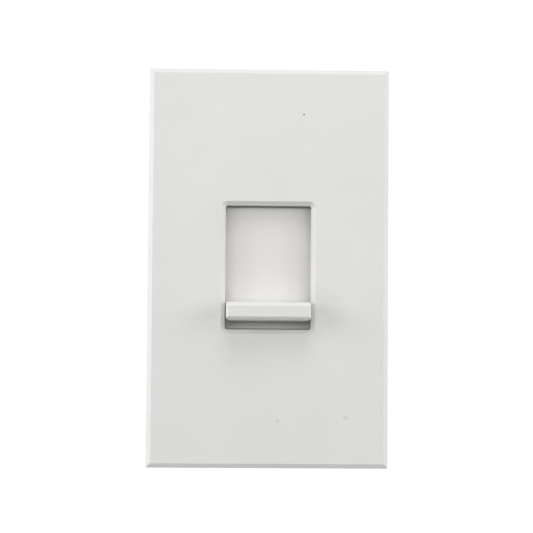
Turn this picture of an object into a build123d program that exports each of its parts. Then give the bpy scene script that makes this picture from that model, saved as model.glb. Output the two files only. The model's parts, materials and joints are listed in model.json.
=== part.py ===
from build123d import *
import os
from math import asin, cos, degrees, radians, sin

# Slide dimmer for a single-gang wall box: a clip-on faceplate, a slide knob in a dished recess,
# an aluminium heat-sink yoke, and the electronics in a moulded housing behind it.
#
# The wall plane is XZ at y = 0, the front faces -Y and +Z is up. The origin is midway between the
# two box-screw holes, on the rear face of the yoke. A "height" is a distance in front of the wall
# plane, so heights are negative inside the wall box. Lengths are millimetres.

# ---------------------------------------------------------------- driving dimensions
# Wall-box interface
box_screw_spacing = 83.3
box_screw_hole_radius = 2.2

# Faceplate
plate_width = 69.85
plate_length = 115.82
plate_front = 7.6
plate_rear = 0.4
plate_skin = 2.0
plate_wall = 2.0
plate_bevel = 1.4
plate_corner_radius = 0.4
window_width = 24.9
window_length = 36.0
window_corner_radius = 0.7
window_bevel = 1.25

# Slide knob and its travel: the knob stands low in the window, just above its off position
knob_width = 24.05
knob_tall = 4.9
knob_front = 15.0
knob_rear = 3.7
knob_travel_end = 14.9
knob_z = -12.7

# Yoke, the aluminium plate that carries everything
yoke_width = 64.5
yoke_length = 110.5
yoke_thickness = 2.0
yoke_opening_width = 34.0
yoke_opening_length = 41.2
seat_depth = 0.3
seat_width = 46.0
seat_length = 76.0

# Bezel with the dished floor behind the knob
bezel_width = 40.0
bezel_length = 49.2
bezel_front = 3.5
dish_height = 2.8
dish_radius = 250.0

# Housing behind the yoke
housing_width = 44.5
housing_length = 66.0
housing_rear = -28.0
housing_wall = 1.6

# Circuit board
board_front = -11.0
board_rear = -12.6
board_width = 39.5
board_length = 61.0

# ---------------------------------------------------------------- shared places
inner_skin = plate_front - plate_skin
seat = seat_depth
post_x = 19.0
post_z = 48.0
bezel_screw_x = 17.6
bezel_screw_z = 22.8
housing_screw_x = 17.5
housing_screw_z = 29.0
triac_z = 26.2
triac_screw_x = 8.0
trimmer_x = -10.5
trimmer_z = 27.2
running_gap = 0.05


def facing(height):
    """Plane parallel to the wall at a height in front of it, with X across and Y up."""
    return Plane.XZ.offset(height)


def across(x):
    """Plane square to the width at x: its X runs into the wall, its Y runs up."""
    return Plane.YZ.offset(x)


def level(z):
    """Horizontal plane at z."""
    return Plane.XY.offset(z)


os.makedirs("parts", exist_ok=True)

# ================================================================ faceplate
blade_thick = 1.6
blade_long = 6.0
blade_tip = 2.8
rib_tip = 2.6
rib_thick = 1.2
rib_gap = 0.3
side_rib_long = 20.0
end_rib_long = 16.0
pry_width = 6.0
pry_tall = 1.5

with BuildPart() as faceplate:
    with BuildSketch(facing(plate_rear)):
        Rectangle(plate_width, plate_length)
    extrude(amount=plate_front - plate_rear)
    chamfer(faceplate.faces().sort_by(Axis.Y)[0].edges(), plate_bevel)
    corner_edges = faceplate.edges().filter_by(Axis.Y)
    fillet(corner_edges, plate_corner_radius)
    # Hollow behind the skin
    with BuildSketch(facing(plate_rear)):
        Rectangle(plate_width - 2 * plate_wall, plate_length - 2 * plate_wall)
    extrude(amount=inner_skin - plate_rear, mode=Mode.SUBTRACT)
    # Knob window with a bevelled lip
    with BuildSketch(facing(inner_skin)):
        RectangleRounded(window_width, window_length, window_corner_radius)
    extrude(amount=plate_skin, mode=Mode.SUBTRACT)
    front_face = faceplate.faces().sort_by(Axis.Y)[0]
    chamfer(front_face.inner_wires()[0].edges(), window_bevel)
    # Blades that snap into the retaining clips
    with BuildSketch(facing(blade_tip)):
        with GridLocations(2 * post_x, 2 * post_z, 2, 2):
            Rectangle(blade_thick, blade_long)
    extrude(amount=inner_skin - blade_tip)
    # Ribs that locate the plate around the bezel
    with BuildSketch(facing(rib_tip)):
        with GridLocations(bezel_width + 2 * rib_gap + rib_thick, 1, 2, 1):
            Rectangle(rib_thick, side_rib_long)
        with GridLocations(1, bezel_length + 2 * rib_gap + rib_thick, 1, 2):
            Rectangle(end_rib_long, rib_thick)
    extrude(amount=inner_skin - rib_tip)
    # Pry slot under the bottom edge
    with BuildSketch(level(-plate_length / 2)):
        with Locations((0, -plate_rear - pry_tall / 2)):
            Rectangle(pry_width, pry_tall)
    extrude(amount=plate_wall, mode=Mode.SUBTRACT)
faceplate.part.label = "faceplate"
export_step(faceplate.part, "parts/faceplate.step")

# ================================================================ slide knob
knob_brow_tall = 0.95
knob_brow_deep = 1.5
knob_chin_tall = 0.5
knob_chin_deep = 0.6
knob_under_tall = 0.95
knob_under_deep = 2.4
knob_end_bevel = 0.5
knob_draft = 0.4
knob_corner_radius = 1.3
knob_shell = 1.2
knob_front_wall = 1.4
wing_front = 4.5
wing_half_tall = 2.3
leg_outer = 15.4
leg_thick = 1.2
leg_rear = -1.5
knob_top = knob_z + knob_tall / 2
knob_bottom = knob_z - knob_tall / 2
knob_half = knob_width / 2
knob_root_tall = knob_tall + 2 * knob_draft

with BuildPart() as knob:
    # Section through the bar: thicker at its root, one bevel over the front face and two below it
    with BuildSketch(across(-knob_half)):
        with BuildLine():
            Polyline(
                (-knob_rear, knob_bottom - knob_draft),
                (-knob_rear, knob_top + knob_draft),
                (-(knob_front - knob_brow_deep), knob_top),
                (-knob_front, knob_top - knob_brow_tall),
                (-knob_front, knob_bottom + knob_under_tall),
                (-(knob_front - knob_chin_deep), knob_bottom + knob_under_tall - knob_chin_tall),
                (-(knob_front - knob_under_deep), knob_bottom),
                close=True,
            )
        make_face()
    extrude(amount=knob_width)
    # Outline from above: bevelled ends
    with BuildSketch(level(knob_bottom - knob_draft)):
        with BuildLine():
            Polyline(
                (-knob_half, -knob_rear),
                (-knob_half, -(knob_front - knob_end_bevel)),
                (-(knob_half - knob_end_bevel), -knob_front),
                (knob_half - knob_end_bevel, -knob_front),
                (knob_half, -(knob_front - knob_end_bevel)),
                (knob_half, -knob_rear),
                close=True,
            )
        make_face()
    extrude(amount=knob_root_tall, mode=Mode.INTERSECT)
    # Outline from the front: rounded corners
    with BuildSketch(facing(knob_rear)):
        with Locations((0, knob_z)):
            RectangleRounded(knob_width, knob_root_tall, knob_corner_radius)
    extrude(amount=knob_front - knob_rear, mode=Mode.INTERSECT)
    # Moulded hollow, open to the rear
    with BuildSketch(facing(knob_rear)):
        with Locations((0, knob_z)):
            Rectangle(knob_width - 2 * knob_shell, knob_tall - 2 * knob_shell)
    extrude(amount=knob_front - knob_front_wall - knob_rear, mode=Mode.SUBTRACT)
    # Wings that run out behind the faceplate
    wing_long = leg_outer - (knob_half - knob_shell)
    with BuildSketch(facing(knob_rear)):
        with Locations((leg_outer - wing_long / 2, knob_z), (wing_long / 2 - leg_outer, knob_z)):
            Rectangle(wing_long, 2 * wing_half_tall)
    extrude(amount=wing_front - knob_rear)
    # Legs that reach back through the bezel to the carriage
    with BuildSketch(facing(leg_rear)):
        with Locations((leg_outer - leg_thick / 2, knob_z), (leg_thick / 2 - leg_outer, knob_z)):
            Rectangle(leg_thick, 2 * wing_half_tall)
    extrude(amount=knob_rear - leg_rear)
knob.part.label = "knob"
export_step(knob.part, "parts/knob.step")

# ================================================================ bezel
bezel_corner_radius = 2.0
bezel_edge_chamfer = 0.4
dish_block_width = 27.2
dish_block_length = 41.0
dish_block_rear = 0.9
dish_width = 25.8
dish_length = 36.8
crown_start_x = 8.5
crown_drop = 0.9
end_groove_long = 0.65
end_groove_height = 2.2
leg_slot_side_gap = 0.2
leg_slot_end_gap = 0.3
leg_slot_width = leg_thick + 2 * leg_slot_side_gap
leg_slot_length = 2 * (knob_travel_end + wing_half_tall + leg_slot_end_gap)
leg_slot_x = leg_outer - leg_thick / 2
bezel_screw_clearance = 1.1
dish_clear = 0.2
dish_cut_deep = 12.0
dish_sweep = degrees(asin((dish_length / 2 + dish_clear) / (dish_radius - bezel_front)))
dish_axis = Axis((0, -(dish_height + dish_radius), 0), (1, 0, 0))

with BuildPart() as bezel:
    with BuildSketch(facing(yoke_thickness)):
        RectangleRounded(bezel_width, bezel_length, bezel_corner_radius)
    extrude(amount=bezel_front - yoke_thickness)
    chamfer(bezel.faces().sort_by(Axis.Y)[0].edges(), bezel_edge_chamfer)
    with BuildSketch(facing(dish_block_rear)):
        Rectangle(dish_block_width, dish_block_length)
    extrude(amount=bezel_front - dish_block_rear)
    # Dished floor: hollow from top to bottom, and rolling off towards the two sides
    with BuildPart(mode=Mode.SUBTRACT):
        with BuildSketch(level(0)):
            with BuildLine():
                floor_line = Line((-crown_start_x, -dish_height), (crown_start_x, -dish_height))
                right_roll = ThreePointArc(
                    floor_line @ 1,
                    (dish_width / 4 + crown_start_x / 2, -dish_height + crown_drop / 4),
                    (dish_width / 2, -dish_height + crown_drop),
                )
                left_roll = ThreePointArc(
                    floor_line @ 0,
                    (-dish_width / 4 - crown_start_x / 2, -dish_height + crown_drop / 4),
                    (-dish_width / 2, -dish_height + crown_drop),
                )
                Polyline(
                    right_roll @ 1,
                    (dish_width / 2, -bezel_front - dish_clear),
                    (-dish_width / 2, -bezel_front - dish_clear),
                    left_roll @ 1,
                )
            make_face()
        revolve(axis=dish_axis, revolution_arc=dish_sweep)
        mirror(about=Plane.XY)
        Box(dish_width, dish_cut_deep, dish_length, mode=Mode.INTERSECT)
    # Relief groove across each end of the floor
    with BuildSketch(facing(end_groove_height)):
        with GridLocations(1, dish_length - end_groove_long, 1, 2):
            Rectangle(dish_width, end_groove_long)
    extrude(amount=bezel_front - end_groove_height, mode=Mode.SUBTRACT)
    # Slots for the knob's legs, hidden behind the faceplate, and screw holes
    with BuildSketch(facing(yoke_thickness)):
        with GridLocations(2 * leg_slot_x, 1, 2, 1):
            Rectangle(leg_slot_width, leg_slot_length)
        with GridLocations(2 * bezel_screw_x, 2 * bezel_screw_z, 2, 2):
            Circle(bezel_screw_clearance)
    extrude(amount=bezel_front - yoke_thickness, mode=Mode.SUBTRACT)
bezel.part.label = "bezel"
export_step(bezel.part, "parts/bezel.step")

# ================================================================ bezel screws
bezel_screw_radius = 0.9
bezel_screw_head_radius = 1.7
bezel_screw_head_tall = 1.1
bezel_screw_tip = 0.5
slot_width = 0.5
slot_depth = 0.5

with BuildPart() as bezel_screws:
    with BuildSketch(facing(bezel_screw_tip)):
        with GridLocations(2 * bezel_screw_x, 2 * bezel_screw_z, 2, 2):
            Circle(bezel_screw_radius)
    extrude(amount=bezel_front - bezel_screw_tip)
    with BuildSketch(facing(bezel_front)):
        with GridLocations(2 * bezel_screw_x, 2 * bezel_screw_z, 2, 2):
            Circle(bezel_screw_head_radius)
    extrude(amount=bezel_screw_head_tall)
    with BuildSketch(facing(bezel_front + bezel_screw_head_tall - slot_depth)):
        with GridLocations(2 * bezel_screw_x, 2 * bezel_screw_z, 2, 2):
            Rectangle(2 * bezel_screw_head_radius, slot_width)
    extrude(amount=slot_depth, mode=Mode.SUBTRACT)
bezel_screws.part.label = "bezel_screws"
export_step(bezel_screws.part, "parts/bezel_screws.step")

# ================================================================ yoke
yoke_corner_radius = 2.0
yoke_edge_chamfer = 0.3
opening_corner_radius = 2.0
housing_screw_radius = 1.4
screw_gap = 0.1
access_hole_radius = 2.0
countersink_radius = 2.5
countersink_angle = 90
triac_screw_radius = 1.25
clip_rivet_radius = 0.9
clip_rivet_offset = 5.4
ground_rivet_radius = 1.2
ground_rivet_z = -35.7
score_x = 24.6
score_width = 1.0
score_depth = 0.7
clip_rivet_z = post_z - clip_rivet_offset

with BuildPart() as yoke:
    with BuildSketch(facing(0)):
        RectangleRounded(yoke_width, yoke_length, yoke_corner_radius)
        RectangleRounded(
            yoke_opening_width, yoke_opening_length, opening_corner_radius, mode=Mode.SUBTRACT
        )
    extrude(amount=yoke_thickness)
    front_outline = yoke.faces().sort_by(Axis.Y)[0].outer_wire()
    chamfer(front_outline.edges(), yoke_edge_chamfer)
    # Recess in the rear face that seats the housing
    with BuildSketch(facing(0)):
        Rectangle(seat_width, seat_length)
    extrude(amount=seat_depth, mode=Mode.SUBTRACT)
    # Screw, rivet and access holes
    with BuildSketch(facing(0)):
        with GridLocations(1, box_screw_spacing, 1, 2):
            Circle(box_screw_hole_radius)
        with GridLocations(2 * bezel_screw_x, 2 * bezel_screw_z, 2, 2):
            Circle(bezel_screw_radius + running_gap)
        with GridLocations(2 * housing_screw_x, 2 * housing_screw_z, 2, 2):
            Circle(housing_screw_radius + screw_gap)
        with GridLocations(2 * post_x, 2 * clip_rivet_z, 2, 2):
            Circle(clip_rivet_radius + running_gap)
        with Locations((trimmer_x, trimmer_z)):
            Circle(access_hole_radius)
        with Locations((0, ground_rivet_z)):
            Circle(ground_rivet_radius + running_gap)
    extrude(amount=yoke_thickness, mode=Mode.SUBTRACT)
    with Locations(facing(yoke_thickness)):
        with Locations((triac_screw_x, triac_z)):
            CounterSinkHole(
                triac_screw_radius + screw_gap, countersink_radius, counter_sink_angle=countersink_angle
            )
    # Scored lines where the side sections break off to gang dimmers side by side
    with BuildSketch(level(-yoke_length / 2)):
        for side in (-1, 1):
            with BuildLine():
                Polyline(
                    (side * score_x - score_width / 2, -yoke_thickness),
                    (side * score_x, score_depth - yoke_thickness),
                    (side * score_x + score_width / 2, -yoke_thickness),
                    close=True,
                )
            make_face()
    extrude(amount=yoke_length, mode=Mode.SUBTRACT)
yoke.part.label = "yoke"
export_step(yoke.part, "parts/yoke.step")

# ================================================================ retaining clips and rivets
clip_metal = 0.4
clip_base_width = 4.4
clip_arm_front = 5.0
clip_half_long = 3.2
clip_tongue = 7.6
clip_arm_x = blade_thick / 2 + running_gap + clip_metal / 2
clip_base_long = clip_half_long + clip_tongue
clip_base_z = post_z + clip_half_long - clip_base_long / 2
rivet_head_radius = 1.6
rivet_head_tall = 0.6

with BuildPart() as retaining_clips:
    with BuildSketch(facing(yoke_thickness)):
        with GridLocations(2 * post_x, 2 * clip_base_z, 2, 2):
            Rectangle(clip_base_width, clip_base_long)
        with GridLocations(2 * post_x, 2 * clip_rivet_z, 2, 2):
            Circle(clip_rivet_radius + running_gap, mode=Mode.SUBTRACT)
    extrude(amount=clip_metal)
    with BuildSketch(facing(yoke_thickness)):
        for post_side in (-post_x, post_x):
            with Locations((post_side - clip_arm_x, 0), (post_side + clip_arm_x, 0)):
                with GridLocations(1, 2 * post_z, 1, 2):
                    Rectangle(clip_metal, 2 * clip_half_long)
    extrude(amount=clip_arm_front - yoke_thickness)
retaining_clips.part.label = "retaining_clips"
export_step(retaining_clips.part, "parts/retaining_clips.step")

with BuildPart() as clip_rivets:
    with BuildSketch(facing(0)):
        with GridLocations(2 * post_x, 2 * clip_rivet_z, 2, 2):
            Circle(clip_rivet_radius)
    extrude(amount=yoke_thickness + clip_metal)
    with BuildSketch(facing(yoke_thickness + clip_metal)):
        with GridLocations(2 * post_x, 2 * clip_rivet_z, 2, 2):
            Circle(rivet_head_radius)
    extrude(amount=rivet_head_tall)
    head_faces = clip_rivets.faces().group_by(Axis.Y)[0]
    fillet(head_faces.edges(), rivet_head_tall / 2)
clip_rivets.part.label = "clip_rivets"
export_step(clip_rivets.part, "parts/clip_rivets.step")

# ================================================================ housing
housing_corner_radius = 2.0
housing_rear_chamfer = 1.4
screw_post_radius = 3.0
screw_post_hole_depth = 10.0
cavity_width = housing_width - 2 * housing_wall
cavity_length = housing_length - 2 * housing_wall
notch_floor_x = -16.0
notch_half_long = 12.0
notch_front = -15.8
terminal_z = 6.4
terminal_height = -21.5
terminal_screw_radius = 1.9
tab_width = 3.0
tab_gap = 0.2
plate_thick = 0.8
plate_outer_x = notch_floor_x - 0.1 - plate_thick
ledge_long = 6.0
ledge_thick = 1.2
ledge_z = 20.0
ground_screw_height = -7.2
ground_screw_radius = 1.9
ground_boss_width = 7.6
ground_boss_tall = 7.2
ground_boss_long = 4.0
ground_bore_long = 4.4
rib_raise = 0.6
rib_count = 5
rib_pitch = 5.0
rib_long = 26.0
rear_rib_width = 1.4

with BuildPart() as housing:
    with BuildSketch(facing(housing_rear)):
        RectangleRounded(housing_width, housing_length, housing_corner_radius)
    extrude(amount=seat - housing_rear)
    chamfer(housing.faces().sort_by(Axis.Y)[-1].edges(), housing_rear_chamfer)
    with BuildSketch(facing(housing_rear + housing_wall)):
        Rectangle(cavity_width, cavity_length)
    extrude(amount=seat - housing_rear - housing_wall, mode=Mode.SUBTRACT)
    # Four screw posts
    with BuildSketch(facing(housing_rear + housing_wall)):
        with GridLocations(2 * housing_screw_x, 2 * housing_screw_z, 2, 2):
            Circle(screw_post_radius)
        Rectangle(cavity_width + housing_wall, cavity_length + housing_wall, mode=Mode.INTERSECT)
    extrude(amount=seat - housing_rear - housing_wall)
    with BuildSketch(facing(seat - screw_post_hole_depth)):
        with GridLocations(2 * housing_screw_x, 2 * housing_screw_z, 2, 2):
            Circle(housing_screw_radius + running_gap)
    extrude(amount=screw_post_hole_depth, mode=Mode.SUBTRACT)
    # Ledges that the circuit board rests on
    with BuildSketch(facing(housing_rear + housing_wall)):
        with GridLocations(cavity_width - ledge_thick, 2 * ledge_z, 2, 2):
            Rectangle(ledge_thick, ledge_long)
    extrude(amount=board_rear - housing_rear - housing_wall)
    # Walled notch on the left for the two wiring terminals, with a barrier between them
    with BuildSketch(facing(housing_rear)):
        with Locations(((notch_floor_x + housing_wall - housing_width / 2) / 2, 0)):
            Rectangle(
                notch_floor_x + housing_wall + housing_width / 2,
                2 * (notch_half_long + housing_wall),
            )
    extrude(amount=notch_front + housing_wall - housing_rear)
    with BuildSketch(facing(housing_rear)):
        with Locations(((notch_floor_x - housing_width / 2) / 2, 0)):
            Rectangle(notch_floor_x + housing_width / 2, 2 * notch_half_long)
            Rectangle(notch_floor_x + housing_width / 2, housing_wall, mode=Mode.SUBTRACT)
    extrude(amount=notch_front - housing_rear, mode=Mode.SUBTRACT)
    with BuildSketch(facing(notch_front)):
        with Locations((plate_outer_x + plate_thick / 2, 0)):
            with GridLocations(1, 2 * terminal_z, 1, 2):
                Rectangle(plate_thick + tab_gap, tab_width + tab_gap)
    extrude(amount=housing_wall, mode=Mode.SUBTRACT)
    with BuildSketch(across(notch_floor_x)):
        with Locations((-terminal_height, 0)):
            with GridLocations(1, 2 * terminal_z, 1, 2):
                Circle(terminal_screw_radius + screw_gap)
    extrude(amount=housing_wall, mode=Mode.SUBTRACT)
    # Boss and blind bore for the end of the ground screw
    with BuildSketch(level(-cavity_length / 2)):
        with Locations((0, -ground_screw_height)):
            Rectangle(ground_boss_width, ground_boss_tall)
    extrude(amount=ground_boss_long)
    with BuildSketch(level(-housing_length / 2)):
        with Locations((0, -ground_screw_height)):
            Circle(ground_screw_radius + screw_gap)
    extrude(amount=ground_bore_long, mode=Mode.SUBTRACT)
    # Shallow grip ribs across the rear face
    with BuildSketch(facing(housing_rear)):
        with Locations((-notch_floor_x / 2, 0)):
            with GridLocations(1, rib_pitch, 1, rib_count):
                Rectangle(rib_long, rear_rib_width)
    extrude(amount=rib_raise, mode=Mode.SUBTRACT)
housing.part.label = "housing"
export_step(housing.part, "parts/housing.step")

# ================================================================ housing screws
housing_screw_tip = -8.0
housing_screw_head_radius = 2.6
housing_screw_head_tall = 1.6
cross_width = 0.7
cross_long = 3.0
cross_depth = 0.9

with BuildPart() as housing_screws:
    with BuildSketch(facing(housing_screw_tip)):
        with GridLocations(2 * housing_screw_x, 2 * housing_screw_z, 2, 2):
            Circle(housing_screw_radius)
    extrude(amount=yoke_thickness - housing_screw_tip)
    with BuildSketch(facing(yoke_thickness)):
        with GridLocations(2 * housing_screw_x, 2 * housing_screw_z, 2, 2):
            Circle(housing_screw_head_radius)
    extrude(amount=housing_screw_head_tall)
    fillet(housing_screws.faces().group_by(Axis.Y)[0].edges(), housing_screw_head_tall / 2)
    with BuildSketch(facing(yoke_thickness + housing_screw_head_tall - cross_depth)):
        with GridLocations(2 * housing_screw_x, 2 * housing_screw_z, 2, 2):
            Rectangle(cross_width, cross_long)
            Rectangle(cross_long, cross_width)
    extrude(amount=cross_depth, mode=Mode.SUBTRACT)
housing_screws.part.label = "housing_screws"
export_step(housing_screws.part, "parts/housing_screws.step")

# ================================================================ insulating sheet
sheet_edge_gap = 0.4
sheet_rear = 0.0
sheet_hole_radius = 2.4
sheet_corner_notch_x = 6.4
sheet_corner_notch_z = 6.0
triac_body_long = 9.2
triac_tab_long = 6.5
triac_width = 10.0
triac_x = 2.85
triac_long = triac_body_long + triac_tab_long
insulator_margin = 0.5
insulator_thick = 0.25

with BuildPart() as insulating_sheet:
    with BuildSketch(facing(sheet_rear)):
        Rectangle(cavity_width - sheet_edge_gap, cavity_length - sheet_edge_gap)
        RectangleRounded(
            yoke_opening_width, yoke_opening_length, opening_corner_radius, mode=Mode.SUBTRACT
        )
        with GridLocations(cavity_width - sheet_corner_notch_x, cavity_length - sheet_corner_notch_z, 2, 2):
            Rectangle(sheet_corner_notch_x, sheet_corner_notch_z, mode=Mode.SUBTRACT)
        with GridLocations(2 * bezel_screw_x, 2 * bezel_screw_z, 2, 2):
            Circle(bezel_screw_radius + screw_gap, mode=Mode.SUBTRACT)
        with Locations((trimmer_x, trimmer_z)):
            Circle(sheet_hole_radius, mode=Mode.SUBTRACT)
        with Locations((triac_x, triac_z)):
            Rectangle(
                triac_long + 2 * insulator_margin + sheet_edge_gap,
                cavity_length - 2 * triac_z + sheet_edge_gap,
                mode=Mode.SUBTRACT,
            )
    extrude(amount=seat - sheet_rear)
insulating_sheet.part.label = "insulating_sheet"
export_step(insulating_sheet.part, "parts/insulating_sheet.step")

# ================================================================ slide carriage and felt pads
carriage_half_width = 16.2
carriage_half_tall = 4.5
carriage_rear = -1.5
carriage_front = -0.1
lever_half_tall = 2.0
lever_thick = 1.2
prong_tall = 1.4
prong_width = 3.0
prong_rear = -4.2
felt_x = 9.0
felt_width = 6.0
felt_tall = 7.0
felt_front = 0.85
prong_z = lever_half_tall + running_gap + prong_tall / 2

with BuildPart() as slide_carriage:
    with BuildSketch(facing(carriage_rear)):
        with Locations((0, knob_z)):
            Rectangle(2 * carriage_half_width, 2 * carriage_half_tall)
            with GridLocations(2 * leg_slot_x, 1, 2, 1):
                Rectangle(
                    leg_thick + 2 * running_gap,
                    2 * (wing_half_tall + running_gap),
                    mode=Mode.SUBTRACT,
                )
    extrude(amount=carriage_front - carriage_rear)
    with BuildSketch(facing(prong_rear)):
        with Locations((0, knob_z)):
            with GridLocations(1, 2 * prong_z, 1, 2):
                Rectangle(prong_width, prong_tall)
    extrude(amount=carriage_rear - prong_rear)
slide_carriage.part.label = "slide_carriage"
export_step(slide_carriage.part, "parts/slide_carriage.step")

with BuildPart() as felt_pads:
    with BuildSketch(facing(carriage_front)):
        with Locations((0, knob_z)):
            with GridLocations(2 * felt_x, 1, 2, 1):
                Rectangle(felt_width, felt_tall)
    extrude(amount=felt_front - carriage_front)
felt_pads.part.label = "felt_pads"
export_step(felt_pads.part, "parts/felt_pads.step")

# ================================================================ slide potentiometer
pot_width = 9.5
pot_length = 42.0
pot_front = -4.6
pot_rear = -10.8
pot_metal = 0.5
pot_slot_width = 1.8
pot_slot_length = 34.6
pot_tab_width = 2.0
pot_tab_tip = -13.2
element_thick = 1.0
element_gap = 0.1
element_front = pot_rear + element_thick
track_thick = 0.1
track_width = 1.6
track_length = 36.0
track_x = 1.6
pot_slider_width = 7.2
pot_slider_half_tall = 3.2
pot_slider_rear = -9.3
pot_slider_front = -5.3
lever_front = -1.7
wiper_strip = 0.15
wiper_tip = element_front + track_thick + running_gap
wiper_width = 0.8
wiper_long = 1.0
pot_pin_radius = 0.4
pot_pin_x = 3.0
pot_pin_z = 19.0
pot_pin_tip = -13.2

with BuildPart() as pot_frame:
    with BuildSketch(facing(pot_rear)):
        Rectangle(pot_width, pot_length)
    extrude(amount=pot_front - pot_rear)
    fillet(pot_frame.faces().sort_by(Axis.Y)[0].edges(), pot_metal)
    with BuildSketch(facing(pot_rear)):
        Rectangle(pot_width - 2 * pot_metal, pot_length - 2 * pot_metal)
    extrude(amount=pot_front - pot_rear - pot_metal, mode=Mode.SUBTRACT)
    with BuildSketch(facing(pot_front - pot_metal)):
        Rectangle(pot_slot_width, pot_slot_length)
    extrude(amount=pot_metal, mode=Mode.SUBTRACT)
    with BuildSketch(facing(pot_tab_tip)):
        with GridLocations(1, pot_length - pot_metal, 1, 2):
            Rectangle(pot_tab_width, pot_metal)
    extrude(amount=pot_rear - pot_tab_tip)
pot_frame.part.label = "pot_frame"
export_step(pot_frame.part, "parts/pot_frame.step")

with BuildPart() as pot_element:
    with BuildSketch(facing(pot_rear)):
        Rectangle(
            pot_width - 2 * (pot_metal + element_gap), pot_length - 2 * (pot_metal + element_gap)
        )
    extrude(amount=element_thick)
pot_element.part.label = "pot_element"
export_step(pot_element.part, "parts/pot_element.step")

with BuildPart() as pot_carbon_track:
    with BuildSketch(facing(element_front)):
        with Locations((track_x, 0)):
            Rectangle(track_width, track_length)
    extrude(amount=track_thick)
pot_carbon_track.part.label = "pot_carbon_track"
export_step(pot_carbon_track.part, "parts/pot_carbon_track.step")

with BuildPart() as pot_collector_track:
    with BuildSketch(facing(element_front)):
        with Locations((-track_x, 0)):
            Rectangle(track_width, track_length)
    extrude(amount=track_thick)
pot_collector_track.part.label = "pot_collector_track"
export_step(pot_collector_track.part, "parts/pot_collector_track.step")

with BuildPart() as pot_slider:
    with BuildSketch(facing(pot_slider_rear)):
        with Locations((0, knob_z)):
            Rectangle(pot_slider_width, 2 * pot_slider_half_tall)
    extrude(amount=pot_slider_front - pot_slider_rear)
    with BuildSketch(facing(pot_slider_front)):
        with Locations((0, knob_z)):
            Rectangle(lever_thick, 2 * lever_half_tall)
    extrude(amount=lever_front - pot_slider_front)
pot_slider.part.label = "pot_slider"
export_step(pot_slider.part, "parts/pot_slider.step")

with BuildPart() as pot_wipers:
    with BuildSketch(facing(pot_slider_rear - wiper_strip)):
        with Locations((0, knob_z)):
            Rectangle(2 * track_x + wiper_width, 2 * pot_slider_half_tall)
    extrude(amount=wiper_strip)
    with BuildSketch(facing(wiper_tip)):
        with Locations((0, knob_z)):
            with GridLocations(2 * track_x, 1, 2, 1):
                Rectangle(wiper_width, wiper_long)
    extrude(amount=pot_slider_rear - wiper_strip - wiper_tip)
pot_wipers.part.label = "pot_wipers"
export_step(pot_wipers.part, "parts/pot_wipers.step")

with BuildPart() as pot_pins:
    with BuildSketch(facing(pot_pin_tip)):
        with GridLocations(2 * pot_pin_x, 2 * pot_pin_z, 2, 2):
            Circle(pot_pin_radius)
    extrude(amount=pot_rear - pot_pin_tip)
pot_pins.part.label = "pot_pins"
export_step(pot_pins.part, "parts/pot_pins.step")

# ================================================================ air-gap off switch
# A bridge on the carriage shorts two rails, and slides off their lower ends in the off position.
rail_x = -10.1
rail_pitch = 3.0
rail_width = 0.8
rail_front = -3.4
rail_rear = -4.6
rail_bottom = -13.4
rail_top = 16.4
rail_length = rail_top - rail_bottom
rail_centre_z = (rail_top + rail_bottom) / 2
rail_pin_radius = 0.35
rail_pin_inset = 3.0
beam_width = 5.0
beam_rear = -6.6
beam_bottom = -18.0
beam_top = 17.4
beam_foot_long = 2.4
off_land_gap = 0.1
bridge_metal = 0.25
bridge_half_tall = 2.0
bridge_tip = rail_front + running_gap
beam_centre_z = (beam_top + beam_bottom) / 2
land_length = rail_bottom - off_land_gap - beam_bottom
bridge_base = carriage_rear - bridge_metal

with BuildPart() as switch_base:
    with BuildSketch(facing(beam_rear)):
        with Locations((rail_x, beam_centre_z)):
            Rectangle(beam_width, beam_top - beam_bottom)
    extrude(amount=rail_rear - beam_rear)
    # Off land, level with the rails
    with BuildSketch(facing(rail_rear)):
        with Locations((rail_x, beam_bottom + land_length / 2)):
            Rectangle(rail_pitch + rail_width, land_length)
    extrude(amount=rail_front - rail_rear)
    # Feet down to the circuit board
    with BuildSketch(facing(board_front)):
        with Locations((rail_x, beam_centre_z)):
            with GridLocations(1, beam_top - beam_bottom - beam_foot_long, 1, 2):
                Rectangle(beam_width, beam_foot_long)
    extrude(amount=beam_rear - board_front)
    with BuildSketch(facing(beam_rear)):
        with Locations((rail_x, rail_centre_z)):
            with GridLocations(rail_pitch, rail_length - 2 * rail_pin_inset, 2, 2):
                Circle(rail_pin_radius + running_gap)
    extrude(amount=rail_rear - beam_rear, mode=Mode.SUBTRACT)
switch_base.part.label = "switch_base"
export_step(switch_base.part, "parts/switch_base.step")

with BuildPart() as switch_rails:
    with BuildSketch(facing(rail_rear)):
        with Locations((rail_x, rail_centre_z)):
            with GridLocations(rail_pitch, 1, 2, 1):
                Rectangle(rail_width, rail_length)
    extrude(amount=rail_front - rail_rear)
    with BuildSketch(facing(board_front)):
        with Locations((rail_x, rail_centre_z)):
            with GridLocations(rail_pitch, rail_length - 2 * rail_pin_inset, 2, 2):
                Circle(rail_pin_radius)
    extrude(amount=rail_rear - board_front)
switch_rails.part.label = "switch_rails"
export_step(switch_rails.part, "parts/switch_rails.step")

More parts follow.
